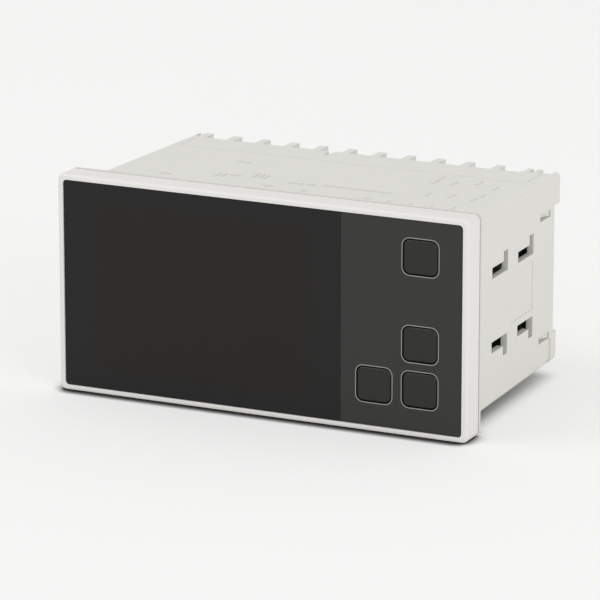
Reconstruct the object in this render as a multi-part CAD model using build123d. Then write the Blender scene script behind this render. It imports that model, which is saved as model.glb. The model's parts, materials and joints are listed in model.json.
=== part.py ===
from build123d import *
from math import radians, tan
import os

os.makedirs("parts", exist_ok=True)

# A panel-mount temperature controller, in millimetres.
# The origin is the centre of the panel cut-out, in the plane where the gasket meets the panel.
# X runs across the front, Y runs back into the cabinet and Z runs up.

# Case: sizes at the panel plane, drawn in towards the rear by the draft
CASE_WIDTH = 89.8
CASE_HEIGHT = 43.8
CASE_DEPTH = 47.4
CASE_WALL = 1.5
CASE_CORNER = 1.3
CASE_DRAFT = 1.0

# Bezel: it stands out past the case by a lip at each side, and at top and bottom
BEZEL_SIDE_LIP = 3.1
BEZEL_TOP_LIP = 2.1
BEZEL_DEPTH = 5.6
BEZEL_CORNER = 1.4
BEZEL_EDGE = 0.8
FRAME_SIDE = 1.35
FRAME_TOP = 1.2
LEDGE_WIDTH = 2.6
SOCKET_DEPTH = 2.0
SOCKET_CLEARANCE = 0.1

# Gasket between bezel and panel, with a groove all round next to the bezel
GASKET_THICKNESS = 1.6
GASKET_INSET = 0.1
GASKET_CORNER_CUT = 0.8
GASKET_GROOVE_WIDTH = 0.8
GASKET_GROOVE_DEPTH = 0.7

# Dark front: the display window and the key panel side by side
PANEL_RECESS = 0.3
PANEL_THICKNESS = 1.2
PANEL_CORNER = 0.9
PANEL_CLEARANCE = 0.05
KEYPAD_LEFT_MARGIN = 3.8

# Keys
KEY_WIDTH = 7.6
KEY_HEIGHT = 7.25
KEY_CORNER = 1.3
KEY_GAP = 0.3
KEY_PROUD = 0.1
KEY_SOFT_EDGE = 0.2
KEY_TRAVEL = 0.5
KEY_COLUMN_MARGIN = 9.65
KEY_TOP_MARGIN = 8.0
KEY_BOTTOM_MARGIN = 9.0
KEY_SIDE_PITCH = 10.5
KEY_ROW_PITCH = 9.85
KEY_FLANGE = 0.8
KEY_FLANGE_THICKNESS = 0.8
KEY_FLANGE_GAP = 0.1
KEY_STEM = 2.6

# Key switches on the display board
SWITCH_SIDE = 6.0
SWITCH_HEIGHT = 3.5
SWITCH_BUTTON = 2.4
SWITCH_BUTTON_SHOWN = 1.0
SWITCH_BUTTON_SUNK = 0.8
SWITCH_BUTTON_GAP = 0.3
SWITCH_WELL_SPARE = 0.6

# Bracket slots, snap windows, label field and corner steps in the case sides
SIDE_CENTRE_Z = -0.65
SLOT_START_Y = 13.1
SLOT_PITCH = 14.6
SLOT_LENGTH = 8.8
SLOT_HEIGHT = 2.4
SLOT_LEVEL = 6.95
SLOT_LEG_WIDTH = 2.3
SLOT_LEG_HEIGHT = 2.1
SNAP_WINDOW_REAR_GAP = 1.1
SNAP_WINDOW_LENGTH = 6.0
SNAP_WINDOW_HEIGHT = 1.5
SNAP_EDGE_DISTANCE = 7.4
LABEL_START_Y = 23.8
LABEL_LENGTH = 12.6
LABEL_HEIGHT = 10.8
LABEL_DEPTH = 0.15
CORNER_STEP_LENGTH = 2.2
CORNER_STEP_HEIGHT = 5.6
CORNER_STEP_DEPTH = 0.3

# Board guide rails inside the case
RAIL_HEIGHT = 0.8
RAIL_END_GAP = 4.0
RAIL_GRIP = 1.2
BOARD_PLAY = 0.1

# Rear terminal base
FLANGE_THICKNESS = 1.2
PLUG_LENGTH = 2.5
PLUG_CLEARANCE = 0.15
PLATE_LENGTH = 9.4
PLATE_SIDE_MARGIN = 2.6
PLATE_GAP = 0.1
BAY_DEPTH = 1.7
BASE_WALL = 1.6
BASE_RIM = 2.0
ROW_HEIGHT = 6.8
UPPER_REACH = 3.1
LOWER_REACH = 1.8
TERMINAL_PITCH = 7.1
TERMINAL_LEFT_MARGIN = 3.2
TERMINAL_RIGHT_ROOM = 6.0
RIB_WIDTH = 1.9
SPLIT_RIB_WIDTH = 1.2
SPLIT_RIB_PITCH = 2.2
END_WALL = 1.0
ARM_THICKNESS = 1.2
ARM_HEIGHT = 1.2
HOOK_BELOW_SURFACE = 0.25
HOOK_END_GAP = 0.2

# V-notch in the rear edge of the base's top plate
NOTCH_X = -8.5
NOTCH_WIDTH = 1.8
NOTCH_LENGTH = 4.4

# Terminals
CONTACT_SIDE_GAP = 0.2
CONTACT_HEIGHT = 4.2
CONTACT_THICKNESS = 0.8
CONTACT_TAIL_WIDTH = 2.0
CONTACT_TAIL_LAP = 3.0
TAIL_SLOT_PLAY = 0.2
CLAMP_SIDE_GAP = 0.3
CLAMP_HEIGHT = 4.0
CLAMP_THICKNESS = 0.7
SCREW_HEAD_SIDE_GAP = 0.2
SCREW_HEAD_HEIGHT = 1.7
SCREW_DIAMETER = 3.0
SCREW_LENGTH = 4.6
SCREW_HOLE_PLAY = 0.15

# Flat sides that stand for the round of the many terminal screws
HEAD_SIDES = 8
SHANK_SIDES = 6

# Boards
BOARD_THICKNESS = 1.6
DISPLAY_BOARD_Y = 0.6
DISPLAY_BOARD_EDGE_GAP = 0.25
LONG_BOARD_DROP = 4.4
LONG_BOARD_FRONT_GAP = 0.3
LONG_BOARD_REAR_GAP = 4.4
LONG_BOARD_EDGE_GAP = 0.25

# Display module
LCD_OFFSET_X = 0.5
LCD_SIDE_MARGIN = 4.8
LCD_TOP_MARGIN = 4.8
LCD_THICKNESS = 2.2
LCD_HOLDER_WALL = 1.6
LCD_HOLDER_LIP = 1.0
LCD_HOLDER_LIP_THICKNESS = 0.3
LCD_HOLDER_GAP = 0.2
LCD_SIDE_GAP = 0.1
CONNECTOR_STRIP_MARGIN = 3.0
CONNECTOR_STRIP_THICKNESS = 1.0
CONNECTOR_STRIP_EDGE = 0.3
BACKLIGHT_GAP = 0.2
BACKLIGHT_LED_WIDTH = 1.6
BACKLIGHT_LED_HEIGHT = 3.0
BACKLIGHT_LED_DEPTH = 1.4
BACKLIGHT_LED_PITCH = 10.0
BACKLIGHT_LED_COUNT = 3

# Pin headers between the display board and the long boards
HEADER_END_MARGIN = 1.6
HEADER_HEIGHT = 2.5
HEADER_DEPTH = 2.4
PIN_PITCH = 2.54
PIN_COUNT = 3
PIN_SIDE = 0.64
PIN_HOLE_PLAY = 0.13
PIN_END_GAP = 0.2

# Power supply parts on the lower board; places across are measured from the board's side edges
TRANSFORMER_FROM_LEFT = 20.7
TRANSFORMER_Y = 20.0
CORE_WIDTH = 20.0
CORE_HEIGHT = 17.0
CORE_THICKNESS = 6.0
CORE_LIMB = 3.0
CORE_LEG = 4.0
CORE_LIFT = 0.3
BOBBIN_PLAY = 0.1
BOBBIN_WALL = 0.8
BOBBIN_FLANGE_DEPTH = 14.0
BOBBIN_FOOT_GAP = 0.3
WINDING_MARGIN = 0.4
BULK_CAPACITOR_X = 2.0
BULK_CAPACITOR_Y = 13.0
BULK_CAPACITOR_RADIUS = 5.0
BULK_CAPACITOR_HEIGHT = 16.0
OUTPUT_CAPACITOR_FROM_RIGHT = 12.0
OUTPUT_CAPACITOR_Y = 28.0
OUTPUT_CAPACITOR_PITCH = 9.0
OUTPUT_CAPACITOR_COUNT = 2
OUTPUT_CAPACITOR_RADIUS = 3.15
OUTPUT_CAPACITOR_HEIGHT = 11.0
FUSE_FROM_RIGHT = 20.7
FUSE_Y = 10.0
FUSE_WIDTH = 8.4
FUSE_DEPTH = 4.2
FUSE_HEIGHT = 8.0
VARISTOR_FROM_RIGHT = 9.7
VARISTOR_Y = 20.0
VARISTOR_RADIUS = 4.5
VARISTOR_THICKNESS = 3.5
RECTIFIER_X = 0.0
RECTIFIER_Y = 24.0
RECTIFIER_WIDTH = 8.0
RECTIFIER_DEPTH = 6.5
RECTIFIER_HEIGHT = 3.0

# Input and output parts on the upper board
RELAY_FROM_LEFT = 16.7
RELAY_PITCH = 23.0
RELAY_COUNT = 2
RELAY_WIDTH = 20.0
RELAY_DEPTH = 10.0
RELAY_HEIGHT = 12.5
RELAY_TAIL_GAP = 0.5
OPTOCOUPLER_FROM_RIGHT = 7.7
OPTOCOUPLER_Y = 22.0
OPTOCOUPLER_PITCH = 7.0
OPTOCOUPLER_COUNT = 4
OPTOCOUPLER_WIDTH = 4.6
OPTOCOUPLER_DEPTH = 6.5
OPTOCOUPLER_HEIGHT = 3.5
CONVERTER_FROM_RIGHT = 18.7
CONVERTER_Y = 10.0
CONVERTER_WIDTH = 10.0
CONVERTER_DEPTH = 7.5
CONVERTER_HEIGHT = 2.3

# Chip on the back of the display board
PROCESSOR_X = 6.0
PROCESSOR_Z = 0.0
PROCESSOR_SIDE = 12.0
PROCESSOR_THICKNESS = 1.4


def case_half_width(y):
    """Half the case width at depth y."""
    return CASE_WIDTH / 2 - y * tan(radians(CASE_DRAFT))


def case_half_height(y):
    """Half the case height at depth y."""
    return CASE_HEIGHT / 2 - y * tan(radians(CASE_DRAFT))


# Widths and heights that follow from the sizes above
BEZEL_WIDTH = CASE_WIDTH + 2 * BEZEL_SIDE_LIP
BEZEL_HEIGHT = CASE_HEIGHT + 2 * BEZEL_TOP_LIP
PANEL_WIDTH = BEZEL_WIDTH - 2 * FRAME_SIDE
PANEL_HEIGHT = BEZEL_HEIGHT - 2 * FRAME_TOP
KEYPAD_WIDTH = KEY_COLUMN_MARGIN + KEY_SIDE_PITCH + KEY_WIDTH / 2 + KEYPAD_LEFT_MARGIN
WINDOW_WIDTH = PANEL_WIDTH - KEYPAD_WIDTH
WINDOW_EDGE_X = PANEL_WIDTH / 2 - KEYPAD_WIDTH
LCD_X = WINDOW_EDGE_X - WINDOW_WIDTH / 2 + LCD_OFFSET_X
LCD_WIDTH = WINDOW_WIDTH - 2 * LCD_SIDE_MARGIN
LCD_HEIGHT = PANEL_HEIGHT - 2 * LCD_TOP_MARGIN
HEADER_WIDTH = (PIN_COUNT - 1) * PIN_PITCH + 2 * HEADER_END_MARGIN
BAY_WIDTH = TERMINAL_PITCH - RIB_WIDTH

# Planes across the depth
BEZEL_BACK = -GASKET_THICKNESS
FRONT_Y = BEZEL_BACK - BEZEL_DEPTH
PANEL_FRONT = FRONT_Y + PANEL_RECESS
PANEL_BACK = PANEL_FRONT + PANEL_THICKNESS
SOCKET_FLOOR = BEZEL_BACK - SOCKET_DEPTH
DISPLAY_BOARD_BACK = DISPLAY_BOARD_Y + BOARD_THICKNESS
CASE_REAR = CASE_DEPTH
FLANGE_REAR = CASE_REAR + FLANGE_THICKNESS
BAY_FLOOR = FLANGE_REAR - BAY_DEPTH
PLUG_FRONT = CASE_REAR - PLUG_LENGTH
PLATE_START_Y = CASE_REAR - PLATE_LENGTH
SNAP_WINDOW_END_Y = CASE_REAR - SNAP_WINDOW_REAR_GAP
SNAP_WINDOW_START_Y = SNAP_WINDOW_END_Y - SNAP_WINDOW_LENGTH
LONG_BOARD_FRONT_Y = DISPLAY_BOARD_BACK + LONG_BOARD_FRONT_GAP
LONG_BOARD_REAR_Y = CASE_REAR - LONG_BOARD_REAR_GAP
RAIL_END_Y = LONG_BOARD_REAR_Y - RAIL_END_GAP
TAIL_FRONT = LONG_BOARD_REAR_Y - CONTACT_TAIL_LAP
RELAY_Y = TAIL_FRONT - RELAY_TAIL_GAP - RELAY_DEPTH / 2

# Levels above and below the middle
PLUG_HALF_HEIGHT = case_half_height(CASE_REAR) - CASE_WALL - PLUG_CLEARANCE
LONG_BOARD_LEVEL = case_half_height(CASE_REAR) - CASE_WALL - LONG_BOARD_DROP
LONG_BOARD_OUTER = LONG_BOARD_LEVEL + BOARD_THICKNESS
TAIL_INNER = LONG_BOARD_LEVEL - CONTACT_THICKNESS
TERMINAL_LEVEL = PLUG_HALF_HEIGHT - PLUG_CLEARANCE - CONTACT_HEIGHT / 2
ROW_BOTTOM = case_half_height(FLANGE_REAR) - ROW_HEIGHT
SNAP_LEVEL = case_half_height(CASE_REAR) - SNAP_EDGE_DISTANCE

# Half the width of the two long boards, which fit the case at their rear edge
LONG_BOARD_HALF = case_half_width(LONG_BOARD_REAR_Y) - CASE_WALL - LONG_BOARD_EDGE_GAP

# Half the width of the recesses in the case for the base's top and bottom plates
PLATE_RECESS_HALF = case_half_width(CASE_REAR) - PLATE_SIDE_MARGIN

# Terminal rows: the first barrier stands at the left, and the rest follow as far as there is room
BASE_HALF_WIDTH = case_half_width(FLANGE_REAR)
FIRST_BARRIER_X = -BASE_HALF_WIDTH + TERMINAL_LEFT_MARGIN
TERMINAL_COUNT = int((BASE_HALF_WIDTH - TERMINAL_RIGHT_ROOM - FIRST_BARRIER_X) // TERMINAL_PITCH)

# Key centres, across and up
KEY_COLUMN_X = PANEL_WIDTH / 2 - KEY_COLUMN_MARGIN
KEY_MENU_Z = PANEL_HEIGHT / 2 - KEY_TOP_MARGIN
KEY_DOWN_Z = -PANEL_HEIGHT / 2 + KEY_BOTTOM_MARGIN
KEY_CENTRES = {
    "menu": (KEY_COLUMN_X, KEY_MENU_Z),
    "up": (KEY_COLUMN_X, KEY_DOWN_Z + KEY_ROW_PITCH),
    "shift": (KEY_COLUMN_X - KEY_SIDE_PITCH, KEY_DOWN_Z),
    "down": (KEY_COLUMN_X, KEY_DOWN_Z),
}


def block(x0, x1, y0, y1, z0, z1):
    """A box between two corners, given in any order."""
    centre = Pos((x0 + x1) / 2, (y0 + y1) / 2, (z0 + z1) / 2)
    return centre * Box(abs(x1 - x0), abs(y1 - y0), abs(z1 - z0))


def slab(width, height, y0, y1, x=0.0, z=0.0, corner=0.0):
    """A plate that faces the front, with rounded corners if a radius is given."""
    outline = RectangleRounded(width, height, corner) if corner else Rectangle(width, height)
    front = Plane(origin=(x, y0, z), x_dir=(1, 0, 0), z_dir=(0, 1, 0))
    return extrude(front * outline, amount=y1 - y0)


def upright_cylinder(x, y, z0, z1, radius):
    """A round part that stands along Z."""
    return Pos(x, y, (z0 + z1) / 2) * Cylinder(radius, abs(z1 - z0))


def rod_along_depth(x, z, y0, y1, radius):
    """A round part that lies along Y."""
    return Pos(x, (y0 + y1) / 2, z) * Rot(90, 0, 0) * Cylinder(radius, y1 - y0)


def few_sided_rod(x, z, y0, y1, radius, sides):
    """A round part along Y with flat sides, for forms that repeat many times."""
    start = Plane(origin=(x, y0, z), x_dir=(1, 0, 0), z_dir=(0, 1, 0))
    return extrude(start * RegularPolygon(radius, sides), amount=y1 - y0)


def case_section(y, inset):
    """The case outline at depth y, drawn in by an inset; inside the wall its corners are sharp."""
    width = 2 * (case_half_width(y) - inset)
    height = 2 * (case_half_height(y) - inset)
    plane = Plane(origin=(0, y, 0), x_dir=(1, 0, 0), z_dir=(0, 1, 0))
    if inset < CASE_WALL:
        return plane * RectangleRounded(width, height, CASE_CORNER - inset)
    return plane * Rectangle(width, height)


def case_form(y0, y1, inset=0.0):
    """The drafted solid between two depths that the case and its base share."""
    return loft([case_section(y0, inset), case_section(y1, inset)], ruled=True)


def front_bezel():
    """The frame: rounded front edge, pocket for the dark front, socket for the case."""
    body = slab(BEZEL_WIDTH, BEZEL_HEIGHT, FRONT_Y, BEZEL_BACK, corner=BEZEL_CORNER)
    body = fillet(body.faces().sort_by(Axis.Y)[0].edges(), BEZEL_EDGE)
    body -= slab(PANEL_WIDTH, PANEL_HEIGHT, FRONT_Y, PANEL_BACK, corner=PANEL_CORNER)
    opening_width = PANEL_WIDTH - 2 * LEDGE_WIDTH
    opening_height = PANEL_HEIGHT - 2 * LEDGE_WIDTH
    body -= slab(opening_width, opening_height, PANEL_BACK, BEZEL_BACK)
    body -= case_form(SOCKET_FLOOR, BEZEL_BACK, -SOCKET_CLEARANCE)
    return body


def gasket_plate(inset, y0, y1):
    """A plate with cut corners, smaller than the bezel by an inset all round."""
    plate = slab(BEZEL_WIDTH - 2 * inset, BEZEL_HEIGHT - 2 * inset, y0, y1)
    return chamfer(plate.edges().filter_by(Axis.Y), GASKET_CORNER_CUT)


def panel_gasket():
    """The ring that the panel is squeezed against: a narrow neck at the bezel, then its full width."""
    lip_front = BEZEL_BACK + GASKET_GROOVE_WIDTH
    ring = gasket_plate(GASKET_INSET + GASKET_GROOVE_DEPTH, BEZEL_BACK, lip_front)
    ring += gasket_plate(GASKET_INSET, lip_front, 0.0)
    return ring - case_form(BEZEL_BACK, 0.0, -SOCKET_CLEARANCE)


def dark_front():
    """The full dark front, before it is parted into window and key panel."""
    width = PANEL_WIDTH - 2 * PANEL_CLEARANCE
    height = PANEL_HEIGHT - 2 * PANEL_CLEARANCE
    return slab(width, height, PANEL_FRONT, PANEL_BACK, corner=PANEL_CORNER - PANEL_CLEARANCE)


def display_window():
    """The smoked window, left of the parting line."""
    half_height = BEZEL_HEIGHT / 2
    left = block(-BEZEL_WIDTH / 2, WINDOW_EDGE_X, FRONT_Y, BEZEL_BACK, -half_height, half_height)
    return dark_front() & left


def key_opening(name, margin, y0, y1):
    """A rounded plug round one key, larger than the key by a margin."""
    x, z = KEY_CENTRES[name]
    width = KEY_WIDTH + 2 * margin
    height = KEY_HEIGHT + 2 * margin
    return slab(width, height, y0, y1, x, z, KEY_CORNER + margin)


def keypad_panel():
    """The key field, right of the parting line, with an opening for each key."""
    half_height = BEZEL_HEIGHT / 2
    right = block(WINDOW_EDGE_X, BEZEL_WIDTH / 2, FRONT_Y, BEZEL_BACK, -half_height, half_height)
    panel = dark_front() & right
    for name in KEY_CENTRES:
        panel -= key_opening(name, KEY_GAP, PANEL_FRONT, PANEL_BACK)
    return panel


def key_cap(name):
    """One key: cap, flange that keeps it behind the panel, and stem to its switch."""
    x, z = KEY_CENTRES[name]
    flange_front = PANEL_BACK + KEY_FLANGE_GAP
    flange_back = flange_front + KEY_FLANGE_THICKNESS
    stem_back = DISPLAY_BOARD_Y - SWITCH_HEIGHT - SWITCH_BUTTON_SHOWN
    cap = key_opening(name, 0.0, PANEL_FRONT - KEY_PROUD, flange_front)
    cap = chamfer(cap.faces().sort_by(Axis.Y)[0].edges(), KEY_SOFT_EDGE)
    flange_width = KEY_WIDTH + 2 * KEY_FLANGE
    flange_height = KEY_HEIGHT + 2 * KEY_FLANGE
    flange = slab(flange_width, flange_height, flange_front, flange_back, x, z)
    stem = slab(KEY_STEM, KEY_STEM, flange_back, stem_back, x, z)
    return cap + flange + stem


def switch_button(name):
    """The small plunger of one switch, which the key stem presses."""
    x, z = KEY_CENTRES[name]
    body_front = DISPLAY_BOARD_Y - SWITCH_HEIGHT
    y0 = body_front - SWITCH_BUTTON_SHOWN
    y1 = body_front + SWITCH_BUTTON_SUNK
    return slab(SWITCH_BUTTON, SWITCH_BUTTON, y0, y1, x, z)


def switch_body(name):
    """One switch housing on the display board, with a well that the plunger travels in."""
    x, z = KEY_CENTRES[name]
    front = DISPLAY_BOARD_Y - SWITCH_HEIGHT
    well = SWITCH_BUTTON + 2 * SWITCH_BUTTON_GAP
    well_floor = front + SWITCH_BUTTON_SUNK + KEY_TRAVEL + SWITCH_WELL_SPARE
    body = slab(SWITCH_SIDE, SWITCH_SIDE, front, DISPLAY_BOARD_Y, x, z)
    return body - slab(well, well, front, well_floor, x, z)


def side_slot(start_y, side):
    """The L-shaped cutter for one bracket slot; its leg points away from the middle."""
    half = CASE_WIDTH / 2
    inner = SIDE_CENTRE_Z + side * SLOT_LEVEL
    outer = inner + side * SLOT_HEIGHT
    end_y = start_y + SLOT_LENGTH
    main = block(-half, half, start_y, end_y, inner, outer)
    leg = block(-half, half, end_y - SLOT_LEG_WIDTH, end_y, inner, outer + side * SLOT_LEG_HEIGHT)
    return main + leg


def guide_rails():
    """Ribs inside both case walls that hold the edges of the two long boards."""
    grip_x = LONG_BOARD_HALF - RAIL_GRIP
    wall_x = case_half_width(RAIL_END_Y) - CASE_WALL / 2
    rails = []
    for side in (-1, 1):
        for level in (-1, 1):
            inner_top = LONG_BOARD_LEVEL - BOARD_PLAY
            outer_bottom = LONG_BOARD_OUTER + BOARD_PLAY
            for low in (inner_top - RAIL_HEIGHT, outer_bottom):
                rail = block(
                    side * grip_x, side * wall_x, LONG_BOARD_FRONT_Y, RAIL_END_Y,
                    level * low, level * (low + RAIL_HEIGHT),
                )
                rails.append(rail)
    return rails


def label_field():
    """The shallow rectangle in the right side, a constant depth below the drafted wall."""
    end_y = LABEL_START_Y + LABEL_LENGTH
    low = SIDE_CENTRE_Z - LABEL_HEIGHT / 2
    region = block(0, CASE_WIDTH / 2, LABEL_START_Y, end_y, low, low + LABEL_HEIGHT)
    return region - case_form(SOCKET_FLOOR, CASE_REAR, LABEL_DEPTH)


def corner_step(side):
    """The shallow step in the case side at one lower rear corner: 1 is right and -1 left."""
    floor = -CASE_HEIGHT / 2
    top = -case_half_height(CASE_REAR) + CORNER_STEP_HEIGHT
    start_y = CASE_REAR - CORNER_STEP_LENGTH
    region = block(side * PLATE_RECESS_HALF, side * CASE_WIDTH / 2, start_y, CASE_REAR, floor, top)
    return region - case_form(SOCKET_FLOOR, CASE_REAR, CORNER_STEP_DEPTH)


def case():
    """The moulded housing: drafted shell, rails, and all its slots, windows, steps and recesses."""
    shell = case_form(SOCKET_FLOOR, CASE_REAR) - case_form(SOCKET_FLOOR, CASE_REAR, CASE_WALL)
    for rail in guide_rails():
        shell += rail
    half = CASE_WIDTH / 2
    for side in (-1, 1):
        for start_y in (SLOT_START_Y, SLOT_START_Y + SLOT_PITCH):
            shell -= side_slot(start_y, side)
        low = SIDE_CENTRE_Z + side * SNAP_LEVEL - SNAP_WINDOW_HEIGHT / 2
        high = low + SNAP_WINDOW_HEIGHT
        shell -= block(-half, half, SNAP_WINDOW_START_Y, SNAP_WINDOW_END_Y, low, high)
        shell -= plate_region(side, PLATE_RECESS_HALF, PLATE_START_Y)
        shell -= corner_step(side)
    return shell - label_field()


def plate_region(side, half, start_y):
    """A box through the top wall for side 1, or the bottom wall for side -1, up to its rear edge."""
    inner = side * PLUG_HALF_HEIGHT
    outer = side * CASE_HEIGHT / 2
    return block(-half, half, start_y, CASE_REAR, inner, outer)


def flush_plate(side):
    """The plate of the base that closes the recess in the top or bottom wall."""
    start_y = PLATE_START_Y + PLATE_GAP
    skin = case_form(start_y, CASE_REAR)
    skin -= case_form(start_y, CASE_REAR, CASE_WALL + PLUG_CLEARANCE)
    return skin & plate_region(side, PLATE_RECESS_HALF - PLATE_GAP, start_y)


def rear_notch():
    """The V cut in the rear edge of the top plate, pointing forward."""
    corners = [
        (NOTCH_X, CASE_REAR - NOTCH_LENGTH),
        (NOTCH_X + NOTCH_WIDTH / 2, CASE_REAR),
        (NOTCH_X - NOTCH_WIDTH / 2, CASE_REAR),
    ]
    plan = Plane.XY.offset(PLUG_HALF_HEIGHT) * Polygon(*corners, align=None)
    return extrude(plan, amount=CASE_HEIGHT / 2 - PLUG_HALF_HEIGHT)


def terminal_xs():
    """The terminal centres along one row."""
    return [FIRST_BARRIER_X + (i + 0.5) * TERMINAL_PITCH for i in range(TERMINAL_COUNT)]


def barrier_spans():
    """The left and right faces of each barrier rib; the last barrier is a pair of thin ribs."""
    spans = []
    for i in range(TERMINAL_COUNT):
        x = FIRST_BARRIER_X + i * TERMINAL_PITCH
        spans.append((x - RIB_WIDTH / 2, x + RIB_WIDTH / 2))
    last = FIRST_BARRIER_X + TERMINAL_COUNT * TERMINAL_PITCH
    for x in (last, last + SPLIT_RIB_PITCH):
        spans.append((x - SPLIT_RIB_WIDTH / 2, x + SPLIT_RIB_WIDTH / 2))
    spans.append((-BASE_HALF_WIDTH, -BASE_HALF_WIDTH + END_WALL))
    spans.append((BASE_HALF_WIDTH - END_WALL, BASE_HALF_WIDTH))
    return spans


def snap_arms():
    """Four arms that reach forward along the side walls, each with a ramped hook."""
    root_y = CASE_REAR - PLUG_LENGTH / 2
    arm_inset = CASE_WALL + PLUG_CLEARANCE
    band = case_form(SNAP_WINDOW_START_Y, root_y, arm_inset)
    band -= case_form(SNAP_WINDOW_START_Y, root_y, arm_inset + ARM_THICKNESS)
    hook_end = SNAP_WINDOW_END_Y - HOOK_END_GAP
    foot = case_half_width(SNAP_WINDOW_START_Y) - arm_inset - ARM_THICKNESS / 2
    tip = case_half_width(SNAP_WINDOW_END_Y) - HOOK_BELOW_SURFACE
    ramp = [(foot, SNAP_WINDOW_START_Y), (tip, hook_end), (foot, hook_end)]
    arms = []
    for side in (-1, 1):
        low = SIDE_CENTRE_Z + side * SNAP_LEVEL - ARM_HEIGHT / 2
        half = CASE_WIDTH / 2
        arm = band & block(-half, half, SNAP_WINDOW_START_Y, root_y, low, low + ARM_HEIGHT)
        hook = extrude(Plane.XY.offset(low) * Polygon(*ramp, align=None), amount=ARM_HEIGHT)
        arms += [arm, hook, mirror(hook, about=Plane.YZ)]
    return arms


def terminal_base():
    """The rear moulding: plug, flange, flush plates, barrier ribs, terminal bays and snap arms."""
    body = case_form(PLUG_FRONT, CASE_REAR, CASE_WALL + PLUG_CLEARANCE)
    body += case_form(CASE_REAR, FLANGE_REAR)
    outline = case_form(FLANGE_REAR, FLANGE_REAR + UPPER_REACH)
    for side, reach in ((1, UPPER_REACH), (-1, LOWER_REACH)):
        body += flush_plate(side)
        body += barrier_comb(side, reach) & outline
    for x in terminal_xs():
        for side in (-1, 1):
            body -= terminal_bay(x, side)
    hollow_half = case_half_width(CASE_REAR) - CASE_WALL - PLUG_CLEARANCE - BASE_RIM
    hollow_top = TAIL_INNER - TAIL_SLOT_PLAY - BASE_WALL
    hollow_rear = FLANGE_REAR - BASE_WALL
    body -= block(-hollow_half, hollow_half, PLUG_FRONT, hollow_rear, -hollow_top, hollow_top)
    body -= rear_notch()
    for arm in snap_arms():
        body += arm
    return body


def barrier_comb(side, reach):
    """All the barrier ribs of one row, which stand out behind the flange by a reach."""
    comb = []
    for left, right in barrier_spans():
        rib = block(
            left, right, FLANGE_REAR, FLANGE_REAR + reach, side * ROW_BOTTOM, side * CASE_HEIGHT / 2,
        )
        comb.append(rib)
    return Part() + comb


def terminal_bay(x, side):
    """The cutter for one terminal: bay with an open mouth, screw well and slot for the contact's tail."""
    left = x - BAY_WIDTH / 2
    right = x + BAY_WIDTH / 2
    bottom = side * (TAIL_INNER - TAIL_SLOT_PLAY)
    bay = block(left, right, BAY_FLOOR, CASE_REAR, bottom, side * PLUG_HALF_HEIGHT)
    mouth = block(left, right, CASE_REAR, FLANGE_REAR, bottom, side * CASE_HEIGHT / 2)
    half_tail = CONTACT_TAIL_WIDTH / 2 + TAIL_SLOT_PLAY
    slot_top = side * (LONG_BOARD_LEVEL + TAIL_SLOT_PLAY)
    slot = block(x - half_tail, x + half_tail, PLUG_FRONT, BAY_FLOOR, bottom, slot_top)
    return bay + mouth + slot + screw_hole(x, side, PLUG_FRONT, BAY_FLOOR)


def screw_hole(x, side, y0, y1):
    """A square clearance hole for one terminal screw."""
    width = SCREW_DIAMETER + 2 * SCREW_HOLE_PLAY
    return slab(width, width, y0, y1, x, side * TERMINAL_LEVEL)


def terminal_contact(x, side):
    """A bent strip: plate on the bay floor, tail through the slot onto the long board."""
    top = side * (TERMINAL_LEVEL + CONTACT_HEIGHT / 2)
    inner = side * TAIL_INNER
    plate_back = BAY_FLOOR + CONTACT_THICKNESS
    half = BAY_WIDTH / 2 - CONTACT_SIDE_GAP
    plate = block(x - half, x + half, BAY_FLOOR, plate_back, inner, top)
    half_tail = CONTACT_TAIL_WIDTH / 2
    board_face = side * LONG_BOARD_LEVEL
    tail = block(x - half_tail, x + half_tail, TAIL_FRONT, BAY_FLOOR, inner, board_face)
    return plate + tail - screw_hole(x, side, BAY_FLOOR, plate_back)


def terminal_clamp(x, side):
    """The square clamp plate under a screw head."""
    y0 = BAY_FLOOR + CONTACT_THICKNESS
    y1 = y0 + CLAMP_THICKNESS
    width = BAY_WIDTH - 2 * CLAMP_SIDE_GAP
    plate = slab(width, CLAMP_HEIGHT, y0, y1, x, side * TERMINAL_LEVEL)
    return plate - screw_hole(x, side, y0, y1)


def terminal_screw(x, side):
    """A screw through clamp, contact and bay floor."""
    z = side * TERMINAL_LEVEL
    seat = BAY_FLOOR + CONTACT_THICKNESS + CLAMP_THICKNESS
    head_radius = BAY_WIDTH / 2 - SCREW_HEAD_SIDE_GAP
    head = few_sided_rod(x, z, seat, seat + SCREW_HEAD_HEIGHT, head_radius, HEAD_SIDES)
    shank = few_sided_rod(x, z, seat - SCREW_LENGTH, seat, SCREW_DIAMETER / 2, SHANK_SIDES)
    return head + shank


def both_rows(make):
    """One solid for each terminal of both rows."""
    return Compound(children=[make(x, side) for side in (1, -1) for x in terminal_xs()])


def pin_xs():
    """The pin positions along one header."""
    first = -(PIN_COUNT - 1) * PIN_PITCH / 2
    return [first + i * PIN_PITCH for i in range(PIN_COUNT)]


def pin_level():
    """The height of the pins: the middle of the header strips."""
    return LONG_BOARD_LEVEL - HEADER_HEIGHT / 2


def display_board():
    """The front circuit board, with a row of holes for each header."""
    width = 2 * (case_half_width(DISPLAY_BOARD_BACK) - CASE_WALL - DISPLAY_BOARD_EDGE_GAP)
    height = 2 * (case_half_height(DISPLAY_BOARD_BACK) - CASE_WALL - DISPLAY_BOARD_EDGE_GAP)
    board = slab(width, height, DISPLAY_BOARD_Y, DISPLAY_BOARD_BACK)
    hole = PIN_SIDE + 2 * PIN_HOLE_PLAY
    for side in (-1, 1):
        for x in pin_xs():
            board -= slab(hole, hole, DISPLAY_BOARD_Y, DISPLAY_BOARD_BACK, x, side * pin_level())
    return board


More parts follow.
